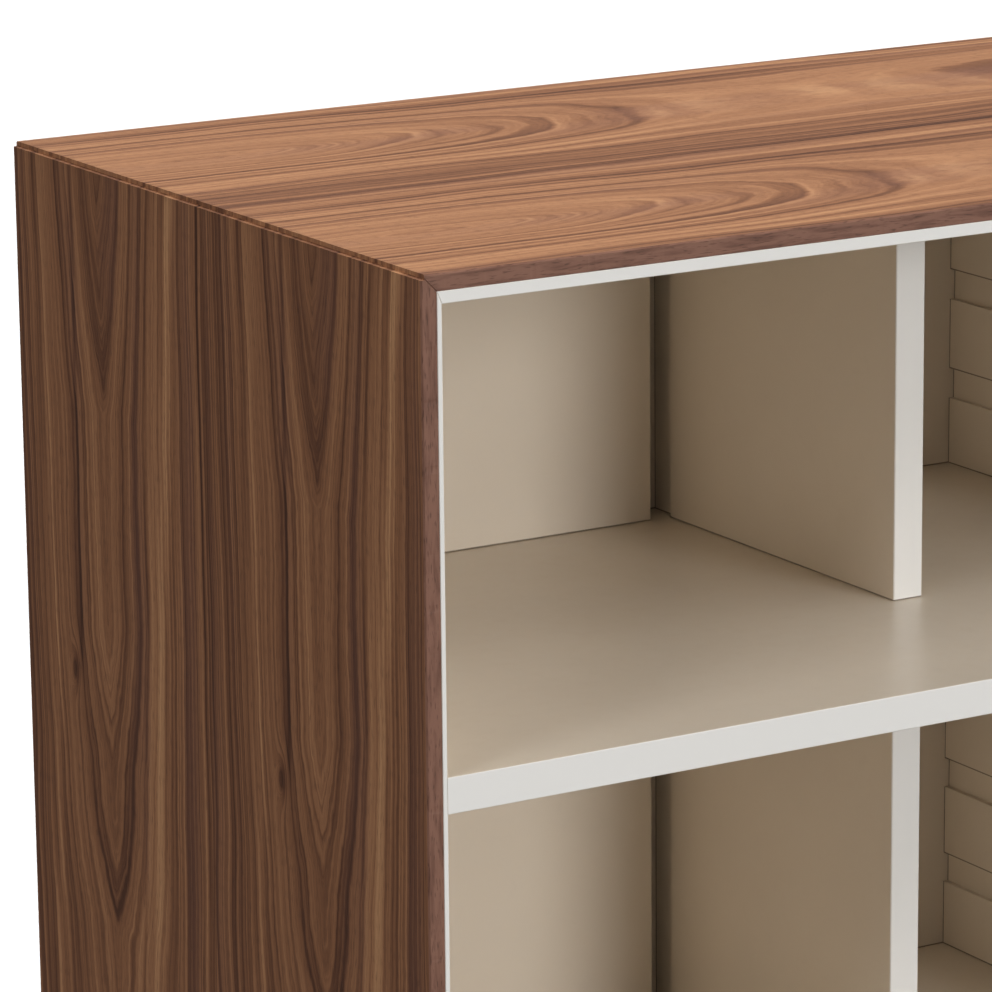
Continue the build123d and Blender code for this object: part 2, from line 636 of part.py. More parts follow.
def foot_pad(x, y):
    """Moulded pad with a ribbed collar to turn it by."""
    base = rod((x, y, 0), (0, 0, 1), PAD_RADIUS, PAD_THICK)
    base = chamfer(base.edges().filter_by(GeomType.CIRCLE).sort_by(Axis.Z)[0], PAD_BOTTOM_EDGE)
    base = fillet(base.edges().filter_by(GeomType.CIRCLE).sort_by(Axis.Z)[-1], PAD_TOP_EDGE)
    collar = rod((x, y, PAD_THICK), (0, 0, 1), COLLAR_RADIUS, FOOT_GAP - COLLAR_CLEARANCE - PAD_THICK)
    pad = base + collar
    cuts = [rod((x, y, STUD_FOOT), (0, 0, 1), STUD_RADIUS, FOOT_GAP)]
    for turn in range(FLUTES):
        flute = Pos(x, y, PAD_THICK) * Rot(0, 0, turn * 360 / FLUTES) * Pos(COLLAR_RADIUS + FLUTE_OUT, 0, 0)
        cuts.append(flute * Cylinder(FLUTE_RADIUS, FOOT_GAP, align=(Align.CENTER, Align.CENTER, Align.MIN)))
    return only_solid(pad - cuts)


def foot_stud(x, y):
    stud = rod((x, y, STUD_FOOT), (0, 0, 1), STUD_RADIUS, FOOT_GAP + STUD_REACH - STUD_FOOT)
    return chamfer(stud.edges().filter_by(GeomType.CIRCLE).sort_by(Axis.Z)[-1], STUD_TIP)


def foot_inserts():
    """Threaded inserts in the bottom of the shell."""
    inserts = []
    for sides in FEET.values():
        x, y = foot_centre(*sides)
        body = rod((x, y, Z_BOTTOM), (0, 0, 1), INSERT_RADIUS, INSERT_LENGTH)
        bore = rod((x, y, Z_BOTTOM), (0, 0, 1), STUD_RADIUS + THREAD_CLEARANCE, INSERT_LENGTH)
        inserts.append(only_solid(body - bore))
    return inserts


def insert_bores():
    bores = []
    for sides in FEET.values():
        x, y = foot_centre(*sides)
        bores.append(rod((x, y, Z_BOTTOM - CUT_OVER), (0, 0, 1), INSERT_RADIUS, INSERT_LENGTH + CUT_OVER))
    return bores


# ---------------------------------------------------------------- write the nodes
def main():
    os.makedirs("parts", exist_ok=True)
    shell_cuts = rebates() + splines()
    write("top_panel", only_solid(shell_cap(1) - shell_cuts))
    write("bottom_panel", only_solid(shell_cap(-1) - shell_cuts - insert_bores()))
    write("left_side_panel", only_solid(shell_side(-1) - shell_cuts - wall_bores(-1)))
    write("right_side_panel", only_solid(shell_side(1) - shell_cuts - wall_bores(1)))
    write("corner_splines", *splines())

    write("top_liner", only_solid(liner_cap(1) - cap_bores(1)))
    write("bottom_liner", only_solid(liner_cap(-1) - cap_bores(-1) - insert_bores()))
    write("left_liner", only_solid(liner_side(-1) - wall_bores(-1)))
    write("right_liner", only_solid(liner_side(1) - wall_bores(1)))

    write("lower_shelf", shelf(0))
    write("upper_shelf", shelf(1))
    for row, row_name in enumerate(ROW_NAMES):
        write(f"{row_name}_left_divider", divider(row, -1))
        write(f"{row_name}_right_divider", divider(row, 1))
        write(f"{row_name}_left_cover", cover_panel(row, -1))
        write(f"{row_name}_right_cover", cover_panel(row, 1))
        write(f"{row_name}_guide_strips", *guide_strips(row))
    write("divider_lippings", *divider_lippings())
    for name, groove in zip(TRAY_NAMES, TRAY_GROOVES):
        write(name, tray(groove))
        write(f"{name}_runners", *tray_runners(groove))

    write("back_panel", back_panel())
    write("cover_spacers", *cover_spacers())
    write("top_batten", batten_cap(1))
    write("bottom_batten", batten_cap(-1))
    write("left_batten", batten_side(-1))
    write("right_batten", batten_side(1))

    write("shelf_dowels", *shelf_dowels())
    write("divider_dowels", *divider_dowels())
    write("shelf_cam_bolts", *cam_bolts())
    write("shelf_cam_locks", *cam_locks())
    write("back_panel_screws", *[screw(x, Y_BACK_REAR, z, SCREW_LENGTH) for x, z in back_screw_places()])
    left_plate, right_plate = [wall_plate(x) for x in wall_plate_centres()]
    write("left_wall_plate", left_plate)
    write("right_wall_plate", right_plate)
    write("wall_plate_screws", *plate_screws())

    write("foot_inserts", *foot_inserts())
    for name, sides in FEET.items():
        x, y = foot_centre(*sides)
        write(f"{name}_foot_pad", foot_pad(x, y))
        write(f"{name}_foot_stud", foot_stud(x, y))


main()
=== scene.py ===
"""Looks of the walnut storage unit: materials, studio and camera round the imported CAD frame.

Metres, in the frame's own axes: +X is the width, +Y points to the wall, +Z is up. The values
inside the materials are in millimetres.
"""

import json
import math
from dataclasses import dataclass

import bpy
from mathutils import Matrix, Vector

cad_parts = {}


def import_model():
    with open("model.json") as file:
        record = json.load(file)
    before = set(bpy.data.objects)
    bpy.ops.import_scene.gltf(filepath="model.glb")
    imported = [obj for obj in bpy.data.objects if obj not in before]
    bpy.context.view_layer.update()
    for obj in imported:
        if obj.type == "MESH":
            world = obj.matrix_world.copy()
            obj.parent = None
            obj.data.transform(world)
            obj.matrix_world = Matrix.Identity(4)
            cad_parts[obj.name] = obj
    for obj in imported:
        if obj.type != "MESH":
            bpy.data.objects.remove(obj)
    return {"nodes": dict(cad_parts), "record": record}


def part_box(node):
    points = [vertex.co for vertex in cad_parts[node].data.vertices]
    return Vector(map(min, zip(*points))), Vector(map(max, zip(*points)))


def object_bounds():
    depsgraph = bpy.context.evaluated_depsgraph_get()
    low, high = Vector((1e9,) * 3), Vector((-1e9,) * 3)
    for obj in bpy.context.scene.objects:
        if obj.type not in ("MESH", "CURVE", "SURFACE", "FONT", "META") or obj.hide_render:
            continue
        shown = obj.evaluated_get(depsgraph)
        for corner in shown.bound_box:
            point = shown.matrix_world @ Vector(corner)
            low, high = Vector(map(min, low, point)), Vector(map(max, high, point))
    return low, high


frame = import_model()
cad_low, cad_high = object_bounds()

MM = 0.001
REAR = cad_high.y
LEFT = cad_low.x
TOP = cad_high.z


# ---------------------------------------------------------------- node graph helpers
class Shader:
    """One material: a Principled surface, and short ways to build the values that feed it."""

    def __init__(self, name):
        self.material = bpy.data.materials.new(name)
        self.material.use_nodes = True
        self.tree = self.material.node_tree
        self.tree.nodes.clear()
        self.surface = self.tree.nodes.new("ShaderNodeBsdfPrincipled")
        output = self.tree.nodes.new("ShaderNodeOutputMaterial")
        self.tree.links.new(self.surface.outputs["BSDF"], output.inputs["Surface"])

    def node(self, kind, inputs, **settings):
        """Adds a node, sets its own settings, and sets or links its inputs."""
        node = self.tree.nodes.new(kind)
        for key, value in settings.items():
            setattr(node, key, value)
        for key, value in inputs.items():
            self.feed(node.inputs[key], value)
        return node

    def feed(self, socket, value):
        """Links a value that varies to the socket, or sets a constant on it."""
        if isinstance(value, bpy.types.NodeSocket):
            self.tree.links.new(value, socket)
        else:
            socket.default_value = value

    def set(self, **inputs):
        """Feeds the surface: set(Base_Color=..., Roughness=...)."""
        for key, value in inputs.items():
            self.feed(self.surface.inputs[key.replace("_", " ")], value)

    def math(self, operation, a, b=0.0, c=0.0):
        return self.node("ShaderNodeMath", {0: a, 1: b, 2: c}, operation=operation).outputs[0]

    def add(self, a, b):
        return self.math("ADD", a, b)

    def subtract(self, a, b):
        return self.math("SUBTRACT", a, b)

    def multiply(self, a, b):
        return self.math("MULTIPLY", a, b)

    def absolute(self, value):
        return self.math("ABSOLUTE", value)

    def larger(self, a, b):
        return self.math("MAXIMUM", a, b)

    def bell(self, value):
        """One where the value is zero, falling to zero on both sides."""
        return self.math("EXPONENT", self.multiply(self.multiply(value, value), -1.0))

    def range(self, value, low, high, to_low=0.0, to_high=1.0, smooth=False):
        """Maps low..high to to_low..to_high, held at both ends."""
        ends = {"Value": value, "From Min": low, "From Max": high, "To Min": to_low, "To Max": to_high}
        kind = "SMOOTHSTEP" if smooth else "LINEAR"
        return self.node("ShaderNodeMapRange", ends, interpolation_type=kind).outputs["Result"]

    def ramp(self, value, stops):
        """Colour read off a list of (place, colour), with straight lines between them."""
        node = self.node("ShaderNodeValToRGB", {0: value})
        elements = node.color_ramp.elements
        while len(elements) < len(stops):
            elements.new(1.0)
        for element, (place, colour) in zip(elements, stops):
            element.position = place
            element.color = (*colour, 1.0)
        return node.outputs[0]

    def mix(self, factor, a, b):
        """Mixes two colours, given as RGB or as sockets."""
        node = self.node("ShaderNodeMix", {}, data_type="RGBA")
        self.feed(node.inputs["Factor"], factor)
        for socket, value in ((node.inputs[6], a), (node.inputs[7], b)):
            self.feed(socket, (*value, 1.0) if isinstance(value, tuple) else value)
        return node.outputs[2]

    def vector(self, x, y, z):
        return self.node("ShaderNodeCombineXYZ", {0: x, 1: y, 2: z}).outputs[0]

    def split(self, vector):
        node = self.node("ShaderNodeSeparateXYZ", {0: vector})
        return node.outputs[0], node.outputs[1], node.outputs[2]

    def place(self):
        """Position in the frame in millimetres, and the face's own normal."""
        node = self.tree.nodes.new("ShaderNodeTexCoord")
        inputs = {0: node.outputs["Object"], "Scale": 1 / MM}
        scaled = self.node("ShaderNodeVectorMath", inputs, operation="SCALE")
        return scaled.outputs[0], node.outputs["Normal"]

    def noise(self, vector, scale=1.0, detail=2.0, roughness=0.5, distortion=0.0):
        """Three-dimensional noise round 0.5."""
        inputs = {"Vector": vector, "Scale": scale, "Detail": detail, "Roughness": roughness,
                  "Distortion": distortion}
        return self.node("ShaderNodeTexNoise", inputs).outputs["Fac"]

    def streaks(self, across, along, width, length, seed, detail=2.0, roughness=0.5):
        """Noise round zero, with lumps of that width and length. The seed may change slowly."""
        at = self.vector(self.multiply(across, 1 / width), self.multiply(along, 1 / length), seed)
        return self.subtract(self.noise(at, detail=detail, roughness=roughness), 0.5)

    def bump(self, height, distance):
        """Normal bent by a height field of 0..1 that stands for that many metres."""
        return self.node("ShaderNodeBump", {"Height": height, "Distance": distance}).outputs["Normal"]


# ---------------------------------------------------------------- walnut
WALNUT_TONES = (                     # from late wood lines to the golden streaks
    (0.00, (0.062, 0.024, 0.013)),
    (0.22, (0.134, 0.054, 0.028)),
    (0.50, (0.278, 0.122, 0.058)),
    (0.76, (0.420, 0.202, 0.098)),
    (1.00, (0.570, 0.306, 0.150)),
)
WALNUT_PURPLE = (0.200, 0.094, 0.072)
WALNUT_PORE = (0.060, 0.026, 0.018)
WALNUT_EDGE = (0.225, 0.110, 0.074)
WALNUT_EDGE_DARK = (0.148, 0.068, 0.045)

FIBRE_TONE = 0.28                    # how much the finest fibres change the tone
FIBRE_ROUGHNESS = 0.6                # of the noise that draws fibres and streaks
PORE_DARKNESS = 0.35
PIT_DARKNESS = 0.55                  # pores of the solid edges, cut across
KNOT_LIFT = 9.0                      # how far a knot pushes the rings aside
KNOT_LENGTH = 1 / 0.45               # length of a knot over its width
KNOT_DARKNESS = 0.45
VEIN_FADE = 40.0                     # length over which the dark line dies out
RAY_WAVER = 8.0                      # how far the straight bands wander across
EDGE_GRAIN_WIDTH = 3.0
EDGE_GRAIN_LENGTH = 26.0
WOOD_RELIEF = 0.00015                # metres, from the pores to the fibres


@dataclass
class Figure:
    """How the veneer was cut: millimetres across the heart line and along the grain."""

    pitch: float                     # width of a leaf
    heart: float                     # heart line of the first leaf, from the rear edge
    slip: float                      # how far each next leaf is slipped along the grain
    drift: float                     # how far the heart line wanders
    roundness: float                 # two for round arches, near one for pointed ones
    reach: float                     # how far from the heart the arches are felt
    swell: float                     # slow shift of the rings along the grain
    ripple: float                    # fine waver of the ring lines
    heights: tuple                   # (along the grain, growth field on the heart line)
    rings: tuple                     # (growth field, tone) from the heart line outwards
    rays: tuple                      # (across, half width, tone, lean) of straight bands
    lean_end: float                  # the bands stop leaning this far along the grain
    streaks: tuple                   # (width, length, strength, share left inside the arches)
    blush: float                     # strength of the purple bands
    seed: float
    knot: tuple = ()                 # (across, along, half width) of a small knot
    vein: tuple = ()                 # (across, half width, end, depth) of a dark line


def leaf_places(shader, across, along, figure):
    """Coordinates inside one leaf: across from its heart line, and along the grain."""
    from_edge = shader.add(across, figure.pitch / 2 - figure.heart)
    leaf = shader.math("FLOOR", shader.multiply(from_edge, 1 / figure.pitch))
    local = shader.subtract(shader.math("WRAP", from_edge, figure.pitch, 0.0), figure.pitch / 2)
    slipped = shader.add(along, shader.multiply(leaf, -figure.slip))
    drift = shader.streaks(slipped, local, 140.0, 60.0, figure.seed, detail=1.0)
    return shader.add(local, shader.multiply(drift, figure.drift)), slipped


def profile(shader, value, points):
    """Reads a height off a list of (place, height), with straight lines between them."""
    first = points[0][0]
    reach = points[-1][0] - first
    peak = max(height for place, height in points)
    stops = [((place - first) / reach, (height / peak,) * 3) for place, height in points]
    grey = shader.ramp(shader.multiply(shader.subtract(value, first), 1 / reach), stops)
    return shader.multiply(grey, peak)


def knot_bump(shader, local, along, figure):
    """One at the knot, falling to zero round it."""
    across_knot, along_knot, half_width = figure.knot
    sideways = shader.multiply(shader.subtract(local, across_knot), 1 / half_width)
    lengthways = shader.multiply(shader.subtract(along, along_knot), 1 / (half_width * KNOT_LENGTH))
    return shader.multiply(shader.bell(sideways), shader.bell(lengthways))


def vein_depth(shader, local, along, figure):
    """How much darker the wood is on the dark line beside the heart, down to the line's end."""
    across_vein, half_width, end, depth = figure.vein
    line = shader.bell(shader.multiply(shader.subtract(local, across_vein), 1 / half_width))
    return shader.multiply(line, shader.range(along, end - VEIN_FADE, end, depth, 0.0, smooth=True))


def growth_field(shader, local, along, figure):
    """Field whose level lines are the growth rings cut by the leaf: arches round the heart line."""
    near = shader.bell(shader.multiply(local, 1 / figure.reach))
    swell = shader.streaks(local, along, 30.0, 55.0, figure.seed + 3.0, detail=1.0)
    slid = shader.add(along, shader.multiply(swell, figure.swell))
    height = shader.multiply(profile(shader, slid, figure.heights), near)
    power = figure.roundness
    sideways = shader.math("POWER", shader.absolute(local), power)
    upwards = shader.math("POWER", height, power)
    field = shader.math("POWER", shader.add(sideways, upwards), 1 / power)
    ripple = shader.streaks(local, along, 5.0, 16.0, figure.seed)
    field = shader.add(field, shader.multiply(shader.multiply(ripple, near), figure.ripple))
    if figure.knot:
        field = shader.add(field, shader.multiply(knot_bump(shader, local, along, figure), KNOT_LIFT))
    return field, near


def ray_tone(shader, tone, local, along, figure):
    """Straight bands beside the arches, each with its own tone and soft wavering edges."""
    waver = shader.streaks(local, along, 25.0, 160.0, figure.seed + 7.0)
    across = shader.add(local, shader.multiply(waver, RAY_WAVER))
    leaning = shader.math("MINIMUM", along, figure.lean_end)
    for middle, half_width, band_tone, lean in figure.rays:
        away = shader.subtract(across, shader.add(middle, shader.multiply(leaning, lean)))
        share = shader.bell(shader.multiply(away, 1 / half_width))
        tone = shader.add(tone, shader.multiply(shader.subtract(band_tone, tone), share))
    return tone


def veneer(shader, across, along, figure):
    """Colour of the veneered faces, and the fibres and pores that also shape their surface.

    Each noise has a seed of its own, so that no two of them draw the same pattern.
    """
    local, slipped = leaf_places(shader, across, along, figure)
    field, near = growth_field(shader, local, slipped, figure)
    tone = profile(shader, field, figure.rings)
    tone = ray_tone(shader, tone, local, slipped, figure)
    for turn, (width, length, strength, inside) in enumerate(figure.streaks):
        share = shader.range(near, 0.15, 0.85, 1.0, inside, smooth=True)
        seed = shader.add(shader.multiply(local, 1 / 60), figure.seed + 4.0 * turn)
        streak = shader.streaks(field, slipped, width, length, seed, roughness=FIBRE_ROUGHNESS)
        tone = shader.add(tone, shader.multiply(shader.multiply(streak, strength), share))
    fibre = shader.streaks(local, along, 1.0, 55.0, figure.seed + 13.0, 3.0, FIBRE_ROUGHNESS)
    tone = shader.add(tone, shader.multiply(fibre, FIBRE_TONE))
    if figure.knot:
        core = shader.math("POWER", knot_bump(shader, local, slipped, figure), 2.0)
        tone = shader.subtract(tone, shader.multiply(core, KNOT_DARKNESS))
    if figure.vein:
        tone = shader.subtract(tone, vein_depth(shader, local, slipped, figure))

    colour = shader.ramp(tone, WALNUT_TONES)
    seed = shader.add(shader.multiply(local, 1 / 40), figure.seed + 17.0)
    blush = shader.streaks(field, slipped, 26.0, 900.0, seed, 1.0, FIBRE_ROUGHNESS)
    colour = shader.mix(shader.range(blush, 0.02, 0.20, 0.0, figure.blush), colour, WALNUT_PURPLE)
    pores = shader.range(shader.streaks(across, along, 0.5, 8.0, 23.0, detail=1.0), 0.10, 0.20)
    colour = shader.mix(shader.multiply(pores, PORE_DARKNESS), colour, WALNUT_PORE)
    return colour, fibre, pores


def solid_edge(shader, axes, along_axis):
    """Colour of the solid lippings on the front and rear edges: a short mottled figure, with pits."""
    size = {"X": EDGE_GRAIN_WIDTH, "Z": EDGE_GRAIN_WIDTH, along_axis: EDGE_GRAIN_LENGTH}
    level, height = [shader.multiply(axes[axis], 1 / size[axis]) for axis in "XZ"]
    at = shader.vector(level, height, 31.0)
    mottle = shader.noise(at, detail=3.0, roughness=0.6, distortion=0.4)
    colour = shader.mix(shader.range(mottle, 0.42, 0.70, smooth=True), WALNUT_EDGE, WALNUT_EDGE_DARK)
    pits = shader.range(shader.noise(at, scale=4.0, detail=1.0), 0.60, 0.68)
    return shader.mix(shader.multiply(pits, PIT_DARKNESS), colour, WALNUT_PORE)


def walnut(name, along_axis, along_start, along_sign, figure):
    """Walnut board with its grain along one axis: veneered faces, and solid front and rear edges."""
    shader = Shader(name)
    position, normal = shader.place()
    axes = dict(zip("XYZ", shader.split(position)))
    along = shader.multiply(shader.subtract(axes[along_axis], along_start / MM), along_sign)
    across = shader.subtract(REAR / MM, axes["Y"])
    colour, fibre, pores = veneer(shader, across, along, figure)
    on_edge = shader.range(shader.absolute(shader.split(normal)[1]), 0.55, 0.60)
    colour = shader.mix(on_edge, colour, solid_edge(shader, axes, along_axis))
    roughness = shader.range(fibre, -0.2, 0.2, 0.48, 0.60)
    shader.set(Base_Color=colour, Roughness=roughness, Specular_IOR_Level=0.20)
    height = shader.subtract(shader.multiply(fibre, 0.6), shader.multiply(pores, 0.8))
    shader.set(Normal=shader.bump(height, WOOD_RELIEF))
    return shader.material


TOP_FIGURE = Figure(
    pitch=233.0, heart=99.0, slip=2.0, drift=14.0, roundness=2.0, reach=90.0, swell=24.0, ripple=1.5,
    heights=((-150.0, 30.0), (-20.0, 10.0), (60.0, 2.0), (110.0, 10.0), (150.0, 21.0), (182.0, 29.0),
             (200.0, 33.0), (230.0, 40.0), (262.0, 48.0), (285.0, 53.5), (310.0, 60.0), (350.0, 64.0),
             (440.0, 66.5), (490.0, 64.0), (535.0, 60.6), (575.0, 59.2), (700.0, 55.0), (820.0, 48.0),
             (960.0, 36.0)),
    rings=((0.0, 0.62), (10.0, 0.72), (18.0, 0.68), (21.0, 0.48), (22.0, 0.78), (26.0, 0.72),
           (29.0, 0.52), (29.9, 0.78), (33.2, 0.60), (34.0, 0.76), (37.0, 0.66), (40.0, 0.46),
           (41.0, 0.74), (44.5, 0.58), (48.0, 0.30), (49.4, 0.74), (53.5, 0.54), (54.5, 0.72),
           (57.5, 0.58), (60.2, 0.30), (61.6, 0.72), (66.0, 0.76), (71.5, 0.64), (73.5, 0.44),
           (75.5, 0.64), (79.5, 0.32), (81.0, 0.62), (86.0, 0.52), (90.0, 0.42), (94.0, 0.56),
           (112.0, 0.38), (120.0, 0.46)),
    rays=((-108.0, 8.0, 0.42, 0.0), (92.0, 7.0, 0.44, 0.0), (-88.0, 4.0, 0.70, 0.0),
          (76.0, 5.0, 0.68, 0.0)),
    lean_end=0.0,
    streaks=((7.0, 900.0, 1.00, 0.45), (3.0, 700.0, 1.10, 0.50), (1.2, 500.0, 0.75, 0.75)),
    blush=0.35, seed=4.0)
SIDE_FIGURE = Figure(
    pitch=224.5, heart=96.0, slip=3.0, drift=10.0, roundness=1.35, reach=85.0, swell=24.0, ripple=2.2,
    heights=((-40.0, 1.0), (0.0, 2.0), (117.0, 24.0), (125.0, 26.0), (240.0, 27.0), (315.0, 38.0),
             (340.0, 39.5), (405.0, 50.0), (500.0, 54.0), (800.0, 60.0), (900.0, 66.0)),
    rings=((0.0, 0.40), (8.0, 0.42), (16.0, 0.37), (21.0, 0.34), (24.0, 0.40), (27.0, 0.56),
           (32.0, 0.60), (36.0, 0.50), (37.8, 0.28), (38.8, 0.53), (42.0, 0.50), (46.0, 0.38),
           (49.4, 0.20), (50.8, 0.50), (54.0, 0.56), (57.5, 0.46), (60.0, 0.58), (66.0, 0.54),
           (70.0, 0.42), (78.0, 0.50), (88.0, 0.45), (98.0, 0.36), (120.0, 0.42)),
    rays=((78.0, 5.5, 0.84, -0.075), (66.0, 2.5, 0.66, -0.075), (56.0, 2.0, 0.38, -0.06),
          (-64.0, 4.0, 0.66, 0.0), (-74.0, 3.0, 0.36, 0.0), (94.0, 4.0, 0.44, -0.03),
          (102.0, 3.0, 0.62, 0.0), (-104.0, 10.0, 0.42, 0.0)),
    lean_end=420.0,
    streaks=((6.0, 1100.0, 0.95, 0.55), (2.6, 900.0, 1.30, 0.55), (1.0, 700.0, 0.95, 0.80)),
    blush=0.22, seed=19.0, knot=(-39.0, 270.0, 6.0), vein=(-31.0, 2.2, 285.0, 0.34))


# ---------------------------------------------------------------- cream lacquer
LACQUER = (0.762, 0.672, 0.556)
LACQUER_PALE = (0.784, 0.694, 0.576)
LACQUER_DEEP = (0.732, 0.642, 0.528)
# painted highlight: the paler, whiter colour given to faces turned to the front
LACQUER_FRONT_HIGHLIGHT = (0.815, 0.796, 0.760)
LACQUER_RELIEF = 0.00002             # metres of orange peel

# colour of the painted shade lines: in the creases where boards meet, and under the top of each tray groove
LINE_SHADE = (0.150, 0.100, 0.060)
LINE_DARKNESS = 0.85
LINE_REACH = 0.9                     # half width of a joint or groove line
LINE_CORE = 0.6                      # share of that half width that is fully dark

GROOVE_TOP = 56.0                    # top of the first tray groove above the floor of its row
GROOVE_PITCH = 58.0
GROOVE_DEPTH = 3.0
GROOVE_SPARE = 2.0                   # how far below the first groove's top the lines begin
FACE_SPARE = 0.1                     # how far from a face's plane a line still counts as on it


def thin_line(shader, away):
    """One where the distance is about zero."""
    return shader.range(shader.absolute(away), LINE_CORE * LINE_REACH, LINE_REACH, 1.0, 0.0)


def joint_shade_lines(shader, position, normal):
    """One in the fine lines of painted shade where an upright board stands on a shelf or meets the back
    panel.
    """
    _, y, z = shader.split(position)
    _, facing_y, facing_z = shader.split(normal)
    floors = 0.0
    for node in ("upper_shelf", "lower_shelf", "bottom_liner"):
        floor_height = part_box(node)[1].z / MM
        floors = shader.larger(floors, thin_line(shader, shader.subtract(z, floor_height)))
    lipping_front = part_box("divider_lippings")[0].y / MM
    panel_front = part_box("back_panel")[0].y / MM
    behind_front = shader.range(y, lipping_front - LINE_REACH, lipping_front)
    indoors = shader.range(y, panel_front + LINE_REACH, panel_front + 2 * LINE_REACH, 1.0, 0.0)
    standing = shader.multiply(floors, shader.multiply(behind_front, indoors))
    sideways = shader.range(shader.absolute(facing_y), 0.60, 0.50)
    meeting = shader.multiply(thin_line(shader, shader.subtract(y, panel_front)), sideways)
    upright = shader.range(shader.absolute(facing_z), 0.90, 0.80)
    return shader.multiply(shader.larger(standing, meeting), upright)


def groove_shade_lines(shader, position, normal):
    """One in the line of painted shadow along the top of each tray groove, under the guide strip above it, on
    the faces round the middle column.
    """
    x, _, z = shader.split(position)
    levels = 0.0
    for row in ("bottom", "middle", "top"):
        row_low, row_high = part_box(f"{row}_guide_strips")
        first = row_low.z / MM + GROOVE_TOP
        last = row_high.z / MM - GROOVE_PITCH / 4
        from_groove = shader.math("WRAP", shader.subtract(z, first), GROOVE_PITCH / 2, -GROOVE_PITCH / 2)
        above = shader.range(z, first - GROOVE_PITCH / 2, first - GROOVE_SPARE)
        below = shader.range(z, last, last + GROOVE_PITCH / 20, 1.0, 0.0)
        line = shader.multiply(thin_line(shader, from_groove), shader.multiply(above, below))
        levels = shader.larger(levels, line)
    divider_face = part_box("top_guide_strips")[1].x / MM
    strip_face = divider_face - GROOVE_DEPTH
    away = shader.absolute(x)
    within = shader.range(away, divider_face + FACE_SPARE, divider_face + 2 * FACE_SPARE, 1.0, 0.0)
    outside = shader.range(away, strip_face - 2 * FACE_SPARE, strip_face - FACE_SPARE)
    facing = shader.range(shader.absolute(shader.split(normal)[0]), 0.8, 0.9)
    return shader.multiply(shader.multiply(levels, facing), shader.multiply(within, outside))


def cream_lacquer(name, painted_front_highlight):
    """Sprayed satin lacquer with faint mottling and orange peel, and painted shade lines at the joints and
    grooves; where asked, faces turned to the front are painted paler and whiter, a painted highlight.
    """
    shader = Shader(name)
    position, normal = shader.place()
    cloud = shader.noise(position, scale=1 / 90, detail=3.0)
    peel = shader.noise(position, scale=1 / 2.2, detail=2.0)
    speck = shader.noise(position, scale=1 / 9, detail=4.0)
    colour = shader.mix(shader.range(cloud, 0.35, 0.65), LACQUER, LACQUER_PALE)
    colour = shader.mix(shader.range(speck, 0.58, 0.78, 0.0, 0.25), colour, LACQUER_DEEP)
    # Painted highlight: faces turned to the front are mixed towards the paler, whiter colour.
    if painted_front_highlight:
        front = shader.range(shader.split(normal)[1], -0.45, -0.80)
        colour = shader.mix(front, colour, LACQUER_FRONT_HIGHLIGHT)
    # Painted shade: fine dark lines in the creases at the board joints and under the top of each tray groove.
    lines = shader.larger(joint_shade_lines(shader, position, normal), groove_shade_lines(shader, position, normal))
    colour = shader.mix(shader.multiply(lines, LINE_DARKNESS), colour, LINE_SHADE)
    shader.set(Base_Color=colour, Roughness=shader.range(speck, 0.3, 0.7, 0.30, 0.38), Specular_IOR_Level=0.5)
    shader.set(Normal=shader.bump(peel, LACQUER_RELIEF))
    return shader.material


# ---------------------------------------------------------------- timber, steel and plastic
PINE = ((0.66, 0.47, 0.27), (0.48, 0.29, 0.14))        # early and late wood
BEECH = ((0.60, 0.40, 0.25), (0.46, 0.28, 0.16))
ZINC = ((0.56, 0.56, 0.55), (0.70, 0.70, 0.68))        # dull and bright
BLACK = ((0.030, 0.030, 0.033), (0.055, 0.055, 0.058))  # clean and rubbed
SAWN_WIDTH = 4.0                     # of the growth lines across the board
SAWN_LENGTH = 160.0


def straight_wood(name, tones, along_axis, roughness):
    """Plain sawn wood: growth lines and fibres along one axis."""
    shader = Shader(name)
    light, dark = tones
    position, _ = shader.place()
    stretch = [1 / SAWN_WIDTH] * 3
    stretch["XYZ".index(along_axis)] = 1 / SAWN_LENGTH
    at = shader.node("ShaderNodeVectorMath", {0: position, 1: stretch}, operation="MULTIPLY").outputs[0]
    rings = shader.noise(at, detail=2.0, distortion=0.5)
    fibres = shader.noise(at, scale=6.0, detail=3.0)
    colour = shader.mix(shader.range(rings, 0.36, 0.64, smooth=True), light, dark)
    fibre_colour = tuple(0.6 * level for level in dark)
    colour = shader.mix(shader.range(fibres, 0.45, 0.75, 0.0, 0.35), colour, fibre_colour)
    spread = shader.range(fibres, 0.3, 0.7, roughness - 0.06, roughness + 0.06)
    shader.set(Base_Color=colour, Roughness=spread)
    shader.set(Normal=shader.bump(fibres, 0.00012))
    return shader.material


def zinc_steel():
    """Bright zinc plate with the crystalline bloom and fine scratches of new fittings."""
    shader = Shader("zinc_steel")
    position, _ = shader.place()
    bloom = shader.noise(position, scale=1 / 3.5, detail=4.0, roughness=0.65)
    scratch = shader.noise(position, scale=2.2, detail=3.0, distortion=1.2)
    colour = shader.mix(shader.range(bloom, 0.35, 0.65), *ZINC)
    shader.set(Base_Color=colour, Metallic=1.0, Roughness=shader.range(bloom, 0.3, 0.7, 0.26, 0.42))
    shader.set(Normal=shader.bump(scratch, 0.00003))
    return shader.material


def black_plastic():
    """Moulded black plastic with a fine spark-eroded grain, rubbed greyer in places."""
    shader = Shader("black_plastic")
    position, _ = shader.place()
    grain = shader.noise(position, scale=2.6, detail=3.0, roughness=0.7)
    rub = shader.noise(position, scale=1 / 7, detail=3.0)
    colour = shader.mix(shader.range(rub, 0.40, 0.70), *BLACK)
    shader.set(Base_Color=colour, Roughness=shader.range(grain, 0.3, 0.7, 0.48, 0.62))
    shader.set(Normal=shader.bump(grain, 0.00010))
    return shader.material


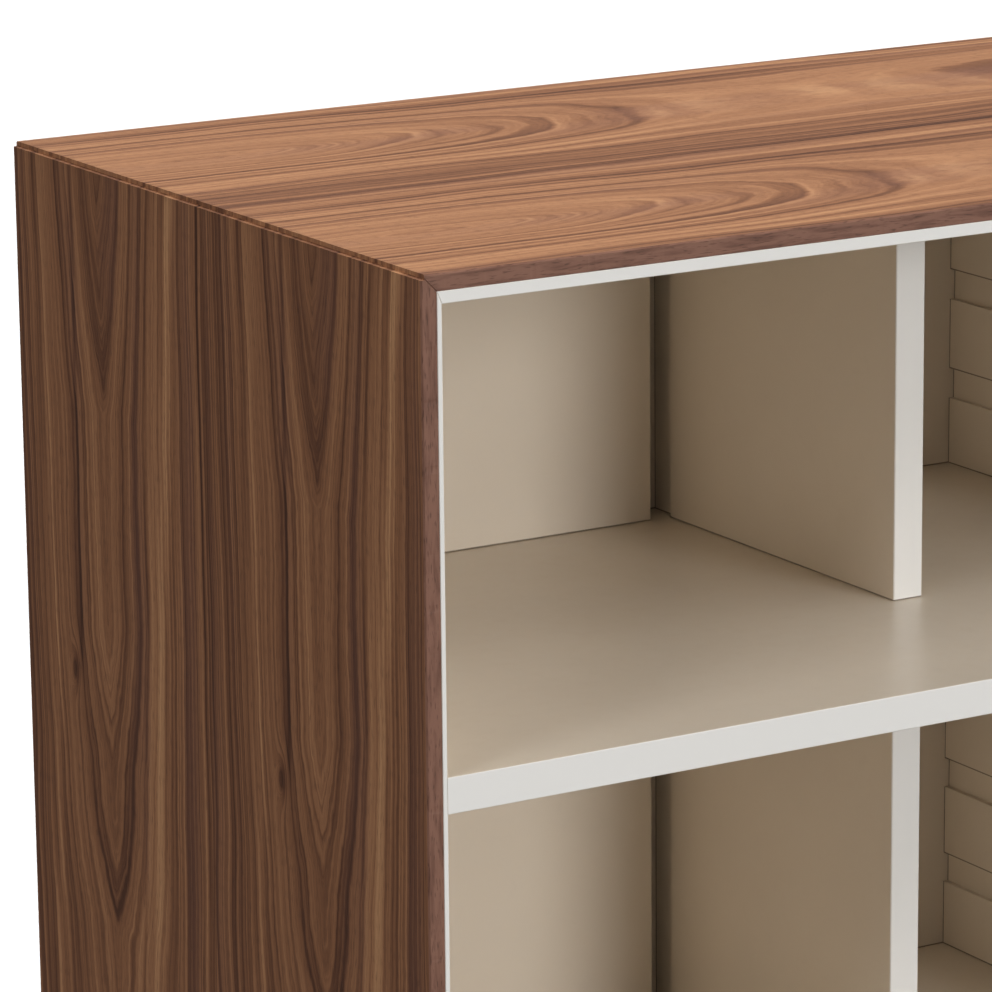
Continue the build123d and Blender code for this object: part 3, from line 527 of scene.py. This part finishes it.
# ---------------------------------------------------------------- materials onto the CAD nodes
def dress():
    """Gives every CAD node its material: by its own name where that matters, or by its slot."""
    caps = walnut("walnut_top", "X", LEFT, 1, TOP_FIGURE)
    sides = walnut("walnut_side", "Z", TOP, -1, SIDE_FIGURE)
    pine_x = straight_wood("pine_along_x", PINE, "X", 0.62)
    pine_z = straight_wood("pine_along_z", PINE, "Z", 0.62)
    # The back panel and the covers take the copy without the painted front highlight; the other lacquered
    # boards take the copy with it.
    inner = cream_lacquer("cream_lacquer_inner", False)
    by_slot = {
        "cream_lacquer": cream_lacquer("cream_lacquer", True),
        "raw_timber": pine_x,
        "beech": straight_wood("beech", BEECH, "X", 0.50),
        "zinc_steel": zinc_steel(),
        "black_plastic": black_plastic(),
    }
    by_node = {
        "top_panel": caps,
        "bottom_panel": caps,
        "left_side_panel": sides,
        "right_side_panel": sides,
        "left_batten": pine_z,
        "right_batten": pine_z,
        "back_panel": inner,
    }
    for part in frame["record"]["subparts"]:
        node = part["node"]
        if node.endswith("_cover"):
            by_node[node] = inner
        slots = frame["nodes"][node].data.materials
        slots.clear()
        slots.append(by_node.get(node) or by_slot[part["material_slot"]])


# ---------------------------------------------------------------- studio
FLOOR_REACH = 30.0                   # half the side of the floor sheet
DOME_REACH = 28.0
DOME_RINGS = 12
DOME_TURNS = 48
WORLD_STRENGTH = 0.13
SOFT_ANGLE = 20.0                    # how wide each light is, seen from the unit
LIGHTS = (                           # name, azimuth from the front towards the right, elevation, strength
    ("right_wash", 80.0, 10.0, 1.70),
    ("front_right", 45.0, 10.0, 0.58),
    ("front", 15.0, 10.0, 1.14),
    ("front_high", 15.0, 48.0, 0.32),
    ("left_fill", -70.0, 30.0, 0.97),
    ("top_rear", 180.0, 68.0, 2.56),
)


def set_piece(name, vertices, faces, material):
    """A part of the studio: seen behind the object, but it throws no light onto it."""
    mesh = bpy.data.meshes.new(name)
    mesh.from_pydata(vertices, [], faces)
    mesh.materials.append(material)
    piece = bpy.data.objects.new(name, mesh)
    bpy.context.scene.collection.objects.link(piece)
    piece.visible_diffuse = False
    piece.visible_glossy = False
    return piece


def floor():
    """A pale sheet that runs far behind the unit."""
    shader = Shader("floor")
    position, _ = shader.place()
    haze = shader.noise(position, scale=1 / 600, detail=2.0)
    colour = shader.mix(haze, (0.90, 0.90, 0.90), (0.93, 0.93, 0.93))
    shader.set(Base_Color=colour, Roughness=0.9, Specular_IOR_Level=0.1)
    corners = [(FLOOR_REACH * x, FLOOR_REACH * y, 0.0) for x, y in ((-1, -1), (1, -1), (1, 1), (-1, 1))]
    set_piece("floor", corners, [(0, 1, 2, 3)], shader.material)


def backdrop():
    """A pale dome far outside, seen by the camera only."""
    vertices = []
    for ring in range(DOME_RINGS):
        lift = math.radians(90.0 * ring / DOME_RINGS)
        radius, height = DOME_REACH * math.cos(lift), DOME_REACH * math.sin(lift)
        for step in range(DOME_TURNS):
            turn = math.tau * step / DOME_TURNS
            vertices.append((radius * math.cos(turn), radius * math.sin(turn), height))
    top = len(vertices)
    vertices.append((0.0, 0.0, DOME_REACH))
    faces = []
    for start in range(0, top, DOME_TURNS):
        for step in range(DOME_TURNS):
            low, beside = start + step, start + (step + 1) % DOME_TURNS
            if start + DOME_TURNS < top:
                faces.append((low, beside, beside + DOME_TURNS, low + DOME_TURNS))
            else:
                faces.append((low, beside, top))
    shader = Shader("backdrop")
    position, _ = shader.place()
    haze = shader.noise(position, scale=1 / 9000, detail=1.0)
    shader.set(Base_Color=(0.0, 0.0, 0.0, 1.0), Specular_IOR_Level=0.0, Emission_Strength=1.0,
               Emission_Color=shader.mix(haze, (0.97, 0.97, 0.97), (1.0, 1.0, 1.0)))
    set_piece("backdrop", vertices, faces, shader.material).visible_shadow = False


def lights():
    """Wide distant lights, like soft boxes far from the unit."""
    for name, azimuth, elevation, strength in LIGHTS:
        light = bpy.data.lights.new(name, "SUN")
        light.angle = math.radians(SOFT_ANGLE)
        light.energy = strength
        lamp = bpy.data.objects.new(name, light)
        bpy.context.scene.collection.objects.link(lamp)
        turn = math.radians(azimuth)
        lift = math.radians(elevation)
        flat = math.cos(lift)
        direction = Vector((math.sin(turn) * flat, -math.cos(turn) * flat, math.sin(lift)))
        lamp.rotation_euler = direction.to_track_quat("Z", "Y").to_euler()


def world():
    """A little light from all round."""
    surroundings = bpy.data.worlds.new("studio")
    bpy.context.scene.world = surroundings
    surroundings.use_nodes = True
    background = next(node for node in surroundings.node_tree.nodes if node.type == "BACKGROUND")
    background.inputs["Color"].default_value = (1.0, 1.0, 1.0, 1.0)
    background.inputs["Strength"].default_value = WORLD_STRENGTH


# ---------------------------------------------------------------- camera
CORNER_TO_CAMERA = Vector((-1.162, -2.001, 0.703))   # from the upper shelf's top front left corner
CAMERA_YAW = 30.73
CAMERA_PITCH = 13.81
CAMERA_ROLL = -0.57
CAMERA_LENS = 189.2
CAMERA_SENSOR = 36.0


def camera():
    """The photograph's view: down from the front left, with a long lens."""
    shelf_low, shelf_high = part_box("upper_shelf")
    corner = Vector((shelf_low.x, shelf_low.y, shelf_high.z))
    data = bpy.data.cameras.new("camera")
    data.lens = CAMERA_LENS
    data.sensor_width = CAMERA_SENSOR
    data.clip_end = 100.0
    eye = bpy.data.objects.new("camera", data)
    bpy.context.scene.collection.objects.link(eye)
    turn = (Matrix.Rotation(math.radians(-CAMERA_YAW), 4, "Z")
            @ Matrix.Rotation(math.radians(90.0 - CAMERA_PITCH), 4, "X")
            @ Matrix.Rotation(math.radians(CAMERA_ROLL), 4, "Z"))
    eye.matrix_world = Matrix.Translation(corner + CORNER_TO_CAMERA) @ turn
    bpy.context.scene.camera = eye


dress()
floor()
backdrop()
world()
lights()
camera()
bpy.context.scene.view_settings.view_transform = "Standard"
bpy.context.scene.view_settings.look = "None"
